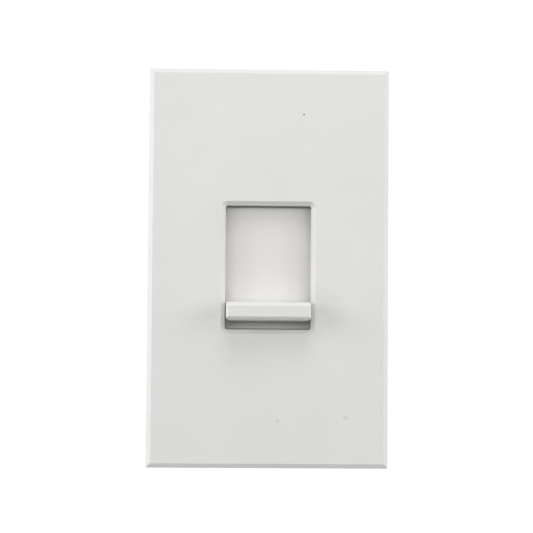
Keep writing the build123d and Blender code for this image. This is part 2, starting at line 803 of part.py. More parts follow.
with BuildPart() as switch_bridge:
    with BuildSketch(facing(bridge_base)):
        with Locations((rail_x, knob_z)):
            Rectangle(rail_pitch + rail_width, 2 * bridge_half_tall)
    extrude(amount=bridge_metal)
    # Two V-shaped contact fingers
    for finger_side in (-1, 1):
        finger_x = rail_x + finger_side * rail_pitch / 2 - rail_width / 2
        with BuildSketch(across(finger_x)):
            with BuildLine():
                Polyline(
                    (-bridge_base, knob_z + bridge_half_tall),
                    (-bridge_tip, knob_z + bridge_metal),
                    (-bridge_tip, knob_z - bridge_metal),
                    (-bridge_base, knob_z - bridge_half_tall),
                    (-bridge_base, knob_z - bridge_half_tall + bridge_metal),
                    (-(bridge_tip + bridge_metal), knob_z),
                    (-bridge_base, knob_z + bridge_half_tall - bridge_metal),
                    close=True,
                )
            make_face()
        extrude(amount=rail_width)
switch_bridge.part.label = "switch_bridge"
export_step(switch_bridge.part, "parts/switch_bridge.step")

# ================================================================ circuit board
board_notch_x = 5.75
board_notch_z = 5.3
board_hole_gap = 0.1

with BuildPart() as circuit_board:
    with BuildSketch(facing(board_rear)):
        Rectangle(board_width, board_length)
        with GridLocations(board_width - board_notch_x, board_length - board_notch_z, 2, 2):
            Rectangle(board_notch_x, board_notch_z, mode=Mode.SUBTRACT)
        with GridLocations(2 * pot_pin_x, 2 * pot_pin_z, 2, 2):
            Circle(pot_pin_radius + board_hole_gap, mode=Mode.SUBTRACT)
        with GridLocations(1, pot_length - pot_metal, 1, 2):
            Rectangle(
                pot_tab_width + 2 * board_hole_gap, pot_metal + 2 * board_hole_gap, mode=Mode.SUBTRACT
            )
    extrude(amount=board_front - board_rear)
circuit_board.part.label = "circuit_board"
export_step(circuit_board.part, "parts/circuit_board.step")

# ================================================================ triac on its heat sink
triac_body_thick = 4.5
triac_tab_thick = 1.3
triac_front = seat - insulator_thick
tab_hole_radius = 1.6
triac_left_x = triac_x - triac_long / 2
triac_tab_x = triac_left_x + triac_body_long + triac_tab_long / 2
triac_lead_pitch = 2.54
triac_lead_width = 0.8
triac_lead_thick = 0.5
triac_lead_reach = 1.4
triac_lead_height = triac_front - 2.4
triac_screw_tip = -3.9
nut_radius = 2.3
nut_rear = -3.1
countersink_depth = countersink_radius - triac_screw_radius - screw_gap
triac_head_radius = triac_screw_radius + countersink_depth - screw_gap

with BuildPart() as triac_insulator:
    with BuildSketch(facing(triac_front)):
        with Locations((triac_x, triac_z)):
            Rectangle(triac_long + 2 * insulator_margin, triac_width)
        with Locations((triac_screw_x, triac_z)):
            Circle(tab_hole_radius, mode=Mode.SUBTRACT)
    extrude(amount=insulator_thick)
triac_insulator.part.label = "triac_insulator"
export_step(triac_insulator.part, "parts/triac_insulator.step")

with BuildPart() as triac_body:
    with BuildSketch(facing(triac_front - triac_body_thick)):
        with Locations((triac_left_x + triac_body_long / 2, triac_z)):
            Rectangle(triac_body_long, triac_width)
    extrude(amount=triac_body_thick)
    chamfer(triac_body.faces().sort_by(Axis.Y)[-1].edges(), triac_lead_thick)
triac_body.part.label = "triac_body"
export_step(triac_body.part, "parts/triac_body.step")

with BuildPart() as triac_tab:
    with BuildSketch(facing(triac_front - triac_tab_thick)):
        with Locations((triac_tab_x, triac_z)):
            Rectangle(triac_tab_long, triac_width)
        with Locations((triac_screw_x, triac_z)):
            Circle(tab_hole_radius, mode=Mode.SUBTRACT)
    extrude(amount=triac_tab_thick)
triac_tab.part.label = "triac_tab"
export_step(triac_tab.part, "parts/triac_tab.step")

with BuildPart() as triac_leads:
    with BuildSketch(facing(triac_lead_height - triac_lead_thick)):
        with Locations((triac_left_x - triac_lead_reach / 2, triac_z)):
            with GridLocations(1, triac_lead_pitch, 1, 3):
                Rectangle(triac_lead_reach, triac_lead_width)
    extrude(amount=triac_lead_thick)
    with BuildSketch(facing(board_front)):
        with Locations((triac_left_x - triac_lead_reach + triac_lead_thick / 2, triac_z)):
            with GridLocations(1, triac_lead_pitch, 1, 3):
                Rectangle(triac_lead_thick, triac_lead_width)
    extrude(amount=triac_lead_height - board_front)
triac_leads.part.label = "triac_leads"
export_step(triac_leads.part, "parts/triac_leads.step")

with BuildPart() as triac_screw:
    with BuildSketch(facing(triac_screw_tip)):
        with Locations((triac_screw_x, triac_z)):
            Circle(triac_screw_radius)
    extrude(amount=yoke_thickness - triac_screw_tip)
    with BuildSketch(facing(yoke_thickness)):
        with Locations((triac_screw_x, triac_z)):
            Circle(triac_head_radius)
    extrude(amount=-(triac_head_radius - triac_screw_radius), taper=countersink_angle / 2)
    with BuildSketch(facing(yoke_thickness - slot_depth)):
        with Locations((triac_screw_x, triac_z)):
            Rectangle(2 * triac_head_radius, slot_width)
    extrude(amount=slot_depth, mode=Mode.SUBTRACT)
triac_screw.part.label = "triac_screw"
export_step(triac_screw.part, "parts/triac_screw.step")

with BuildPart() as triac_nut:
    with BuildSketch(facing(nut_rear)):
        with Locations((triac_screw_x, triac_z)):
            RegularPolygon(nut_radius, 6)
            Circle(triac_screw_radius + running_gap, mode=Mode.SUBTRACT)
    extrude(amount=triac_front - triac_tab_thick - nut_rear)
triac_nut.part.label = "triac_nut"
export_step(triac_nut.part, "parts/triac_nut.step")

# ================================================================ noise-filter choke
choke_x = 9.6
choke_z = -15.0
choke_standoff = 0.9
core_outer = 8.0
core_inner = 4.5
core_half_tall = 3.3
wire = 0.9
wire_gap = 0.05
turn_count = 20
turn_inner = core_inner - wire_gap - wire
turn_outer = core_outer + wire_gap + wire
turn_half_tall = core_half_tall + wire_gap + wire
turn_mid = (turn_inner + turn_outer) / 2
choke_front = board_rear - choke_standoff
choke_height = choke_front - turn_half_tall

with BuildPart() as choke_core:
    with BuildSketch(facing(choke_height - core_half_tall)):
        with Locations((choke_x, choke_z)):
            Circle(core_outer)
            Circle(core_inner, mode=Mode.SUBTRACT)
    extrude(amount=2 * core_half_tall)
    fillet(choke_core.edges(), core_half_tall / 4)
choke_core.part.label = "choke_core"
export_step(choke_core.part, "parts/choke_core.step")

with BuildPart() as choke_winding:
    for turn in range(turn_count):
        angle = radians(turn * 360 / turn_count)
        turn_plane = Plane(
            origin=(choke_x, -choke_height, choke_z),
            x_dir=(cos(angle), 0, sin(angle)),
            z_dir=(-sin(angle), 0, cos(angle)),
        )
        with BuildSketch(turn_plane):
            with Locations((turn_mid, 0)):
                RectangleRounded(turn_outer - turn_inner, 2 * turn_half_tall, wire)
                Rectangle(
                    turn_outer - turn_inner - 2 * wire,
                    2 * (turn_half_tall - wire),
                    mode=Mode.SUBTRACT,
                )
        extrude(amount=wire / 2, both=True)
choke_winding.part.label = "choke_winding"
export_step(choke_winding.part, "parts/choke_winding.step")

# ================================================================ capacitors, resistors and diac
standoff = 0.5
component_front = board_rear - standoff
film_cap_x = 10.5
film_cap_z = 3.5
film_cap_size = (18.0, 7.5, 12.0)
film_cap_radius = 1.2
film_cap_lead_pitch = 10.0
timing_cap_places = ((8.0, 12.8), (-12.0, 20.0))
timing_cap_size = (10.0, 4.0, 8.5)
timing_cap_radius = 0.8
timing_cap_lead_pitch = 5.0
axial_height = board_rear - 1.7
resistor_radius = 1.2
resistor_neck_radius = 0.95
resistor_long = 6.4
resistor_neck_long = 3.0
resistor_cap_long = (resistor_long - resistor_neck_long) / 2
resistor_z = -24.0
resistor_places = (-12.4, -9.2, -6.0)
diac_radius = 0.95
diac_long = 4.0
diac_x = -5.8
diac_z = 19.0
lead_radius = 0.35
lead_overhang = 1.6
lead_bend_radius = 0.8
solder_base_radius = 0.7
solder_tall = 0.5
solder_taper = 30

with BuildPart() as filter_capacitor:
    with BuildSketch(facing(component_front)):
        with Locations((film_cap_x, film_cap_z)):
            Rectangle(film_cap_size[0], film_cap_size[1])
    extrude(amount=-film_cap_size[2])
    fillet(filter_capacitor.edges().filter_by(Axis.Y), film_cap_radius)
    fillet(filter_capacitor.faces().sort_by(Axis.Y)[-1].edges(), film_cap_radius / 2)
filter_capacitor.part.label = "filter_capacitor"
export_step(filter_capacitor.part, "parts/filter_capacitor.step")

with BuildPart() as timing_capacitors:
    with BuildSketch(facing(component_front)):
        with Locations(*timing_cap_places):
            Rectangle(timing_cap_size[0], timing_cap_size[1])
    extrude(amount=-timing_cap_size[2])
    fillet(timing_capacitors.edges().filter_by(Axis.Y), timing_cap_radius)
timing_capacitors.part.label = "timing_capacitors"
export_step(timing_capacitors.part, "parts/timing_capacitors.step")

with BuildPart() as resistors:
    for resistor_x in resistor_places:
        with BuildSketch(level(resistor_z - resistor_long / 2)):
            with Locations((resistor_x, -axial_height)):
                Circle(resistor_neck_radius)
        extrude(amount=resistor_long)
        for cap_start in (resistor_z - resistor_long / 2, resistor_z + resistor_neck_long / 2):
            with BuildSketch(level(cap_start)):
                with Locations((resistor_x, -axial_height)):
                    Circle(resistor_radius)
            extrude(amount=resistor_cap_long)
resistors.part.label = "resistors"
export_step(resistors.part, "parts/resistors.step")

with BuildPart() as diac:
    with BuildSketch(level(diac_z - diac_long / 2)):
        with Locations((diac_x, -axial_height)):
            Circle(diac_radius)
    extrude(amount=diac_long)
diac.part.label = "diac"
export_step(diac.part, "parts/diac.step")

# Lead places on the board: (x, z) of each bend, and the end of the part that it comes from
axial_parts = [(place, resistor_z, resistor_long / 2) for place in resistor_places]
axial_parts.append((diac_x, diac_z, diac_long / 2))
radial_leads = [
    (film_cap_x - film_cap_lead_pitch / 2, film_cap_z),
    (film_cap_x + film_cap_lead_pitch / 2, film_cap_z),
]
for cap_x, cap_z in timing_cap_places:
    radial_leads.append((cap_x - timing_cap_lead_pitch / 2, cap_z))
    radial_leads.append((cap_x + timing_cap_lead_pitch / 2, cap_z))
choke_reach = turn_outer - wire / 2
choke_leads = [(choke_x, choke_z - choke_reach), (choke_x, choke_z + choke_reach)]
soldered_places = radial_leads + choke_leads

with BuildPart() as component_leads:
    for lead_x, part_z, half_long in axial_parts:
        for side in (-1, 1):
            start_z = part_z + side * half_long
            end_z = start_z + side * lead_overhang
            with BuildLine(across(lead_x)) as bend:
                FilletPolyline(
                    (-axial_height, start_z),
                    (-axial_height, end_z),
                    (-board_rear, end_z),
                    radius=lead_bend_radius,
                )
            with BuildSketch(level(start_z)):
                with Locations((lead_x, -axial_height)):
                    Circle(lead_radius)
            sweep(path=bend.wires()[0])
            soldered_places.append((lead_x, end_z))
    with BuildSketch(facing(component_front)):
        with Locations(*radial_leads):
            Circle(lead_radius)
    extrude(amount=standoff)
    with BuildSketch(facing(choke_front)):
        with Locations(*choke_leads):
            Circle(lead_radius)
    extrude(amount=choke_standoff)
component_leads.part.label = "component_leads"
export_step(component_leads.part, "parts/component_leads.step")

with BuildPart() as solder_joints:
    with BuildSketch(facing(board_front)):
        with Locations(*soldered_places):
            Circle(solder_base_radius)
    extrude(amount=solder_tall, taper=solder_taper)
solder_joints.part.label = "solder_joints"
export_step(solder_joints.part, "parts/solder_joints.step")

# ================================================================ low-end trimmer
trimmer_size = 6.4
trimmer_front = -6.6
rotor_radius = 2.0
rotor_bottom = -9.4
rotor_front = -6.3
rotor_slot_depth = 0.8
rotor_slot_width = 0.7

with BuildPart() as trimmer_body:
    with BuildSketch(facing(board_front)):
        with Locations((trimmer_x, trimmer_z)):
            RectangleRounded(trimmer_size, trimmer_size, trimmer_size / 8)
    extrude(amount=trimmer_front - board_front)
    with BuildSketch(facing(rotor_bottom - running_gap)):
        with Locations((trimmer_x, trimmer_z)):
            Circle(rotor_radius + running_gap)
    extrude(amount=trimmer_front - rotor_bottom + running_gap, mode=Mode.SUBTRACT)
trimmer_body.part.label = "trimmer_body"
export_step(trimmer_body.part, "parts/trimmer_body.step")

with BuildPart() as trimmer_rotor:
    with BuildSketch(facing(rotor_bottom)):
        with Locations((trimmer_x, trimmer_z)):
            Circle(rotor_radius)
    extrude(amount=rotor_front - rotor_bottom)
    with BuildSketch(facing(rotor_front - rotor_slot_depth)):
        with Locations((trimmer_x, trimmer_z)):
            Rectangle(rotor_slot_width, 2 * rotor_radius)
    extrude(amount=rotor_slot_depth, mode=Mode.SUBTRACT)
trimmer_rotor.part.label = "trimmer_rotor"
export_step(trimmer_rotor.part, "parts/trimmer_rotor.step")

# ================================================================ wiring terminals
terminal_plate_half = 4.2
terminal_plate_front = -17.0
terminal_plate_rear = -26.0
clamp_size = 7.4
clamp_thick = 0.9
clamp_gap = 0.2
clamp_inner_x = plate_outer_x - clamp_gap
head_inner_x = clamp_inner_x - clamp_thick
terminal_head_radius = 3.5
terminal_head_tall = 2.3
terminal_screw_tip_x = -12.0
terminal_slot_width = 1.0
terminal_slot_depth = 1.0

with BuildPart() as terminal_plates:
    with BuildSketch(across(plate_outer_x)):
        with Locations((-(terminal_plate_front + terminal_plate_rear) / 2, 0)):
            with GridLocations(1, 2 * terminal_z, 1, 2):
                Rectangle(terminal_plate_front - terminal_plate_rear, 2 * terminal_plate_half)
        with Locations((-(terminal_plate_front + board_rear) / 2, 0)):
            with GridLocations(1, 2 * terminal_z, 1, 2):
                Rectangle(board_rear - terminal_plate_front, tab_width)
        with Locations((-terminal_height, 0)):
            with GridLocations(1, 2 * terminal_z, 1, 2):
                Circle(terminal_screw_radius + running_gap, mode=Mode.SUBTRACT)
    extrude(amount=plate_thick)
terminal_plates.part.label = "terminal_plates"
export_step(terminal_plates.part, "parts/terminal_plates.step")

with BuildPart() as terminal_clamps:
    with BuildSketch(across(head_inner_x)):
        with Locations((-terminal_height, 0)):
            with GridLocations(1, 2 * terminal_z, 1, 2):
                Rectangle(clamp_size, clamp_size)
                Circle(terminal_screw_radius + screw_gap, mode=Mode.SUBTRACT)
    extrude(amount=clamp_thick)
terminal_clamps.part.label = "terminal_clamps"
export_step(terminal_clamps.part, "parts/terminal_clamps.step")

with BuildPart() as terminal_screws:
    with BuildSketch(across(head_inner_x)):
        with Locations((-terminal_height, 0)):
            with GridLocations(1, 2 * terminal_z, 1, 2):
                Circle(terminal_screw_radius)
    extrude(amount=terminal_screw_tip_x - head_inner_x)
    with BuildSketch(across(head_inner_x - terminal_head_tall)):
        with Locations((-terminal_height, 0)):
            with GridLocations(1, 2 * terminal_z, 1, 2):
                Circle(terminal_head_radius)
    extrude(amount=terminal_head_tall)
    fillet(terminal_screws.faces().group_by(Axis.X)[0].edges(), terminal_head_tall / 4)
    with BuildSketch(across(head_inner_x - terminal_head_tall)):
        with Locations((-terminal_height, 0)):
            with GridLocations(1, 2 * terminal_z, 1, 2):
                Rectangle(terminal_slot_width, 2 * terminal_head_radius)
    extrude(amount=terminal_slot_depth, mode=Mode.SUBTRACT)
terminal_screws.part.label = "terminal_screws"
export_step(terminal_screws.part, "parts/terminal_screws.step")

# ================================================================ ground terminal
strap_width = 8.0
strap_thick = 1.0
strap_wall_gap = 0.3
strap_rear = -11.0
strap_foot_end = -37.2
strap_top_z = -housing_length / 2 - strap_wall_gap
strap_bottom_z = strap_top_z - strap_thick
strap_foot_long = strap_top_z - strap_foot_end
ground_head_radius = 3.3
ground_head_tall = 2.2
ground_tip_z = -29.4

with BuildPart() as ground_strap:
    with BuildSketch(facing(seat - strap_thick)):
        with Locations((0, strap_top_z - strap_foot_long / 2)):
            Rectangle(strap_width, strap_foot_long)
        with Locations((0, ground_rivet_z)):
            Circle(ground_rivet_radius + running_gap, mode=Mode.SUBTRACT)
    extrude(amount=strap_thick)
    with BuildSketch(facing(strap_rear)):
        with Locations((0, strap_top_z - strap_thick / 2)):
            Rectangle(strap_width, strap_thick)
    extrude(amount=seat - strap_thick - strap_rear)
    with BuildSketch(level(strap_bottom_z)):
        with Locations((0, -ground_screw_height)):
            Circle(ground_screw_radius + running_gap)
    extrude(amount=strap_thick, mode=Mode.SUBTRACT)
ground_strap.part.label = "ground_strap"
export_step(ground_strap.part, "parts/ground_strap.step")

with BuildPart() as ground_rivet:
    with BuildSketch(facing(seat - strap_thick)):
        with Locations((0, ground_rivet_z)):
            Circle(ground_rivet_radius)
    extrude(amount=yoke_thickness - seat + strap_thick)
    with BuildSketch(facing(yoke_thickness)):
        with Locations((0, ground_rivet_z)):
            Circle(rivet_head_radius)
    extrude(amount=rivet_head_tall)
    fillet(ground_rivet.faces().sort_by(Axis.Y)[0].edges(), rivet_head_tall / 2)
ground_rivet.part.label = "ground_rivet"
export_step(ground_rivet.part, "parts/ground_rivet.step")

with BuildPart() as ground_screw:
    with BuildSketch(level(strap_bottom_z)):
        with Locations((0, -ground_screw_height)):
            Circle(ground_screw_radius)
    extrude(amount=ground_tip_z - strap_bottom_z)
    with BuildSketch(level(strap_bottom_z - ground_head_tall)):
        with Locations((0, -ground_screw_height)):
            RegularPolygon(ground_head_radius, 6)
    extrude(amount=ground_head_tall)
    with BuildSketch(level(strap_bottom_z - ground_head_tall)):
        with Locations((0, -ground_screw_height)):
            Rectangle(2 * ground_head_radius, terminal_slot_width)
    extrude(amount=terminal_slot_depth, mode=Mode.SUBTRACT)
ground_screw.part.label = "ground_screw"
export_step(ground_screw.part, "parts/ground_screw.step")
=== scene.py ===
import json
import math

import bpy
from mathutils import Matrix, Vector


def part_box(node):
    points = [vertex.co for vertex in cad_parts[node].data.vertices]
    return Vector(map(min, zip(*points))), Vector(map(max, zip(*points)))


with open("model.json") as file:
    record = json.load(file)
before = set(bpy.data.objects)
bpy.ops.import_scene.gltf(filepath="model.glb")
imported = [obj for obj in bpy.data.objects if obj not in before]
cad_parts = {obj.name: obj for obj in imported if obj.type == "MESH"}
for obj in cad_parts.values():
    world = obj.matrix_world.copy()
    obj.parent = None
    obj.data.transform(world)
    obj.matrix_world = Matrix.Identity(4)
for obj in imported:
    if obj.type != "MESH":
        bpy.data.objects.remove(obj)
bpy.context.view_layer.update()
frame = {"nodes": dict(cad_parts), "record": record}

# The looks of a white slide dimmer: softened edges, a material for every slot, a studio and a camera.
# Lengths are metres in the shared frame: +Z up, the front faces -Y, +X is to the right from the front.

MM = 0.001

# Camera: a long lens, almost square to the plate and a little below its middle
LENS_MM = 90.0
SENSOR_MM = 36.0
CLIP_NEAR = 0.01
CLIP_FAR = 20.0
CAMERA_AZIMUTH = -1.4
CAMERA_ELEVATION = -2.53
CAMERA_DISTANCE = 393.1 * MM
CAMERA_ROLL = 0.433
CAMERA_TARGET = Vector((-0.33 * MM, 0.0, 0.60 * MM))

FLOOR_Z = -0.60
FLOOR_RADIUS = 0.6
FLOOR_SIDES = 96
FLOOR_TONES = ((0.76, 0.76, 0.755), (0.80, 0.80, 0.795))

# Studio: a dim white world that the camera sees as pure white, and softboxes aimed at the object
WORLD_STRENGTH = 0.30
BACKDROP_STRENGTH = 1.05
SOFTBOX_DISTANCE = 1.5
WIDE_BOX = (0.8, 0.55)
LOW_WIDE_BOX = (0.8, 0.4)
TALL_BOX = (0.55, 0.8)
SOFTBOXES = [  # name, azimuth, elevation, size, watts
    ("front", 0.0, 14.0, LOW_WIDE_BOX, 5.3),
    ("front_high", 0.0, 58.0, WIDE_BOX, 6.1),
    ("overhead", 0.0, 88.0, WIDE_BOX, 3.2),
    ("front_left", -65.0, 15.0, TALL_BOX, 6.7),
    ("front_right", 65.0, 15.0, TALL_BOX, 6.5),
    ("left", -88.0, 5.0, TALL_BOX, 6.9),
    ("right", 88.0, 5.0, TALL_BOX, 4.2),
    ("back", 180.0, 25.0, WIDE_BOX, 5.0),
]


# ---------------------------------------------------------------- softened edges
WELD_DISTANCE = 0.0005 * MM
SHARP_ANGLE = 28.0
FLAT_FACE_WEIGHT = 80
SOFT_EDGES = [  # node, width, segments
    ("faceplate", 0.16 * MM, 2),
    ("knob", 0.22 * MM, 3),
    ("bezel", 0.15 * MM, 2),
    ("housing", 0.25 * MM, 2),
    ("yoke", 0.10 * MM, 2),
]


def soften(node, width, segments):
    """Welds the node's split corners and rounds every edge sharper than SHARP_ANGLE."""
    piece = frame["nodes"][node]
    weld = piece.modifiers.new("weld", "WELD")
    weld.merge_threshold = WELD_DISTANCE
    bevel = piece.modifiers.new("soft_edges", "BEVEL")
    bevel.width = width
    bevel.segments = segments
    bevel.limit_method = "ANGLE"
    bevel.angle_limit = math.radians(SHARP_ANGLE)
    bevel.use_clamp_overlap = True
    bevel.miter_outer = "MITER_ARC"
    normals = piece.modifiers.new("face_normals", "WEIGHTED_NORMAL")
    normals.weight = FLAT_FACE_WEIGHT
    normals.keep_sharp = True
    for polygon in piece.data.polygons:
        polygon.use_smooth = True


# ---------------------------------------------------------------- node helpers
class Surface:
    """A Principled material under construction, with coordinates in metres."""

    def __init__(self, name):
        self.material = bpy.data.materials.new(name)
        self.material.use_nodes = True
        tree = self.material.node_tree
        self.nodes = tree.nodes
        self.links = tree.links
        self.shader = next(n for n in tree.nodes if n.type == "BSDF_PRINCIPLED")
        self.place = self.nodes.new("ShaderNodeTexCoord").outputs["Object"]

    def stretched(self, scale):
        """Coordinates in which noise is drawn out along the axes of small scale."""
        mapping = self.nodes.new("ShaderNodeMapping")
        mapping.inputs["Scale"].default_value = scale
        self.links.new(self.place, mapping.inputs["Vector"])
        return mapping.outputs["Vector"]

    def noise(self, size, detail=3.0, rough=0.55, vector=None):
        """Noise whose blotches are about size metres across."""
        noise = self.nodes.new("ShaderNodeTexNoise")
        noise.inputs["Scale"].default_value = 1.0 / size
        noise.inputs["Detail"].default_value = detail
        noise.inputs["Roughness"].default_value = rough
        self.links.new(vector or self.place, noise.inputs["Vector"])
        return noise.outputs["Fac"]

    def ramp(self, factor, stops):
        """Colour of factor, between (position, colour) stops."""
        ramp = self.nodes.new("ShaderNodeValToRGB")
        elements = ramp.color_ramp.elements
        while len(elements) < len(stops):
            elements.new(0.5)
        for element, (position, colour) in zip(elements, stops):
            element.position = position
            element.color = (*colour, 1.0)
        self.links.new(factor, ramp.inputs["Fac"])
        return ramp.outputs["Color"]

    def spread(self, factor, low, high, from_low=0.3, from_high=0.7):
        """Factor's range from_low to from_high stretched to low to high."""
        ranged = self.nodes.new("ShaderNodeMapRange")
        ranged.inputs["From Min"].default_value = from_low
        ranged.inputs["From Max"].default_value = from_high
        ranged.inputs["To Min"].default_value = low
        ranged.inputs["To Max"].default_value = high
        self.links.new(factor, ranged.inputs["Value"])
        return ranged.outputs["Result"]

    def math(self, operation, first, second):
        node = self.nodes.new("ShaderNodeMath")
        node.operation = operation
        for socket, value in zip(node.inputs, (first, second)):
            if isinstance(value, (int, float)):
                socket.default_value = value
            else:
                self.links.new(value, socket)
        return node.outputs["Value"]

    def near(self, centre, inner, outer, strength):
        """Strength inside the inner radius about centre, fading to nothing at the outer one."""
        away = self.nodes.new("ShaderNodeVectorMath")
        away.operation = "DISTANCE"
        away.inputs[1].default_value = centre
        self.links.new(self.place, away.inputs[0])
        return self.spread(away.outputs["Value"], strength, 0.0, inner, outer)

    def mix(self, factor, first, second):
        mixer = self.nodes.new("ShaderNodeMix")
        mixer.data_type = "RGBA"
        for name, value in (("Factor_Float", factor), ("A_Color", first), ("B_Color", second)):
            socket = next(s for s in mixer.inputs if s.identifier == name)
            if isinstance(value, (int, float)):
                socket.default_value = value
            elif isinstance(value, tuple):
                socket.default_value = (*value, 1.0)
            else:
                self.links.new(value, socket)
        return next(s for s in mixer.outputs if s.identifier == "Result_Color")

    def bump(self, height, depth, under=None):
        """Relief depth metres high, laid over the normal that is under it."""
        bump = self.nodes.new("ShaderNodeBump")
        bump.inputs["Strength"].default_value = 1.0
        bump.inputs["Distance"].default_value = depth
        self.links.new(height, bump.inputs["Height"])
        if under is not None:
            self.links.new(under, bump.inputs["Normal"])
        return bump.outputs["Normal"]

    def finish(self, colour, roughness, normal=None, **sockets):
        self.links.new(colour, self.shader.inputs["Base Color"])
        self.links.new(roughness, self.shader.inputs["Roughness"])
        if normal is not None:
            self.links.new(normal, self.shader.inputs["Normal"])
        for name, value in sockets.items():
            self.shader.inputs[name.replace("_", " ")].default_value = value
        return self.material


def shade(colour, factor):
    """The colour made lighter or darker."""
    return tuple(min(1.0, channel * factor) for channel in colour)


# ---------------------------------------------------------------- materials
def moulded(name, colour, roughness, grain=0.35 * MM, depth=0.004 * MM, mottle=0.03):
    """Moulded plastic: slow colour drift, uneven sheen and a fine tool texture."""
    s = Surface(name)
    drift = s.noise(14 * MM, detail=4.0)
    tint = s.ramp(drift, [(0.35, shade(colour, 1 - mottle)), (0.65, shade(colour, 1 + mottle))])
    sheen = s.spread(s.noise(5 * MM, detail=5.0), roughness - 0.06, roughness + 0.06)
    normal = s.bump(s.noise(grain, detail=2.0), depth)
    return s.finish(tint, sheen, normal)


def metal(name, colour, roughness, brush=(1.0, 1.0, 30.0), size=3 * MM, depth=0.002 * MM, mottle=0.06):
    """Metal whose fine scratches run along the axis with the smallest brush number."""
    s = Surface(name)
    lines = s.noise(size, detail=6.0, rough=0.7, vector=s.stretched(brush))
    stain = s.noise(9 * MM, detail=4.0)
    base = s.ramp(lines, [(0.3, shade(colour, 1 - mottle)), (0.7, shade(colour, 1 + mottle))])
    tint = s.mix(s.spread(stain, 0.0, 0.25), base, shade(colour, 0.8))
    sheen = s.spread(lines, roughness - 0.07, roughness + 0.1)
    normal = s.bump(lines, depth)
    return s.finish(tint, sheen, normal, Metallic=1.0)


SPECK_COLOUR = (0.20, 0.19, 0.17)
SPECK_CORE = 0.55  # share of a speck's radius that is full strength
# grey of the rubbed marks, and of the painted shade beside the knob
GRIME_AND_SHADE_COLOUR = (0.45, 0.44, 0.42)
SHADE_AND_RUB_CORE = 0.1


def scuffed(s, tint, colour, strength):
    """Fine upright scuffs in patches."""
    rub = s.noise(2.2 * MM, detail=6.0, rough=0.72, vector=s.stretched((1.0, 1.0, 0.55)))
    patch = s.noise(26 * MM, detail=2.0)
    mask = s.math("MULTIPLY", s.spread(rub, 0.0, 1.0, 0.60, 0.78), s.spread(patch, 0.0, strength, 0.5, 0.7))
    return s.mix(mask, tint, shade(colour, 0.72))


def marked(s, tint, specks, shade_and_rubs):
    """Dark specks, and grey patches: rubbed marks and painted shade."""
    for centre, radius, strength in specks:
        tint = s.mix(s.near(centre, SPECK_CORE * radius, radius, strength), tint, SPECK_COLOUR)
    # grey patches fading out to their reach: rubbed marks, and painted shade where they sit beside the knob
    for centre, reach, strength in shade_and_rubs:
        unevenness = s.spread(s.noise(2.5 * MM, detail=6.0), 0.25, 1.0)
        patch = s.near(centre, SHADE_AND_RUB_CORE * reach, reach, strength)
        tint = s.mix(s.math("MULTIPLY", patch, unevenness), tint, GRIME_AND_SHADE_COLOUR)
    return tint


def white_plastic(name, colour, roughness, scuffs, specks=(), shade_and_rubs=()):
    """Satin white moulding with a barely seen orange-peel, the marks of handling and patches of painted
    shade.
    """
    s = Surface(name)
    drift = s.noise(22 * MM, detail=3.0)
    tint = s.ramp(drift, [(0.3, shade(colour, 0.988)), (0.7, shade(colour, 1.010))])
    fine = s.noise(0.9 * MM, detail=4.0, rough=0.6)
    tint = s.mix(s.spread(fine, 0.0, 0.05), tint, shade(colour, 0.90))
    tint = scuffed(s, tint, colour, scuffs)
    tint = marked(s, tint, specks, shade_and_rubs)
    sheen = s.spread(s.noise(7 * MM, detail=5.0), roughness - 0.05, roughness + 0.05)
    peel = s.bump(s.noise(1.6 * MM, detail=2.0), 0.006 * MM)
    grain = s.bump(s.noise(0.28 * MM, detail=2.0), 0.0035 * MM, under=peel)
    return s.finish(tint, sheen, grain, Specular_IOR_Level=0.45)


def felt(name, colour):
    """Felt with drawn-out fibres and a soft sheen."""
    s = Surface(name)
    fibre = s.noise(0.25 * MM, detail=8.0, rough=0.8, vector=s.stretched((1.0, 1.0, 0.4)))
    tint = s.ramp(fibre, [(0.3, shade(colour, 0.6)), (0.7, shade(colour, 1.6))])
    sheen = s.spread(fibre, 0.9, 1.0)
    return s.finish(tint, sheen, s.bump(fibre, 0.08 * MM), Sheen_Weight=0.5, Sheen_Roughness=0.6)


def board(name, colour):
    """Circuit board: green mask over copper runs, with a glass weave below."""
    s = Surface(name)
    runs = s.nodes.new("ShaderNodeTexBrick")
    runs.offset = 0.37
    runs.inputs["Scale"].default_value = 1.0 / (9 * MM)
    runs.inputs["Mortar Size"].default_value = 0.05
    runs.inputs["Mortar Smooth"].default_value = 0.1
    flat = s.nodes.new("ShaderNodeMapping")
    flat.inputs["Rotation"].default_value = (math.radians(90), 0.0, 0.0)
    s.links.new(s.place, flat.inputs["Vector"])
    s.links.new(flat.outputs["Vector"], runs.inputs["Vector"])
    weave = s.noise(0.5 * MM, detail=2.0)
    mask = s.ramp(weave, [(0.4, shade(colour, 0.85)), (0.6, shade(colour, 1.15))])
    tint = s.mix(runs.outputs["Fac"], mask, shade(colour, 1.9))
    sheen = s.spread(weave, 0.25, 0.38)
    return s.finish(tint, sheen, s.bump(runs.outputs["Fac"], 0.03 * MM))


def powder_core(name, colour):
    """Speckled coat of an iron-powder core."""
    s = Surface(name)
    speckle = s.noise(0.35 * MM, detail=6.0, rough=0.75)
    tint = s.ramp(speckle, [(0.35, shade(colour, 0.55)), (0.65, shade(colour, 1.25))])
    return s.finish(tint, s.spread(speckle, 0.45, 0.75), s.bump(speckle, 0.05 * MM))


def fibre_sheet(name, colour):
    """Pressed pulp board or laminate."""
    s = Surface(name)
    pulp = s.noise(1.2 * MM, detail=8.0, rough=0.7, vector=s.stretched((1.0, 1.0, 0.5)))
    tint = s.ramp(pulp, [(0.3, shade(colour, 0.75)), (0.7, shade(colour, 1.25))])
    return s.finish(tint, s.spread(pulp, 0.6, 0.8), s.bump(pulp, 0.01 * MM))


WAVE_PERIOD = 0.314  # length that one band of a wave texture of scale 1 takes


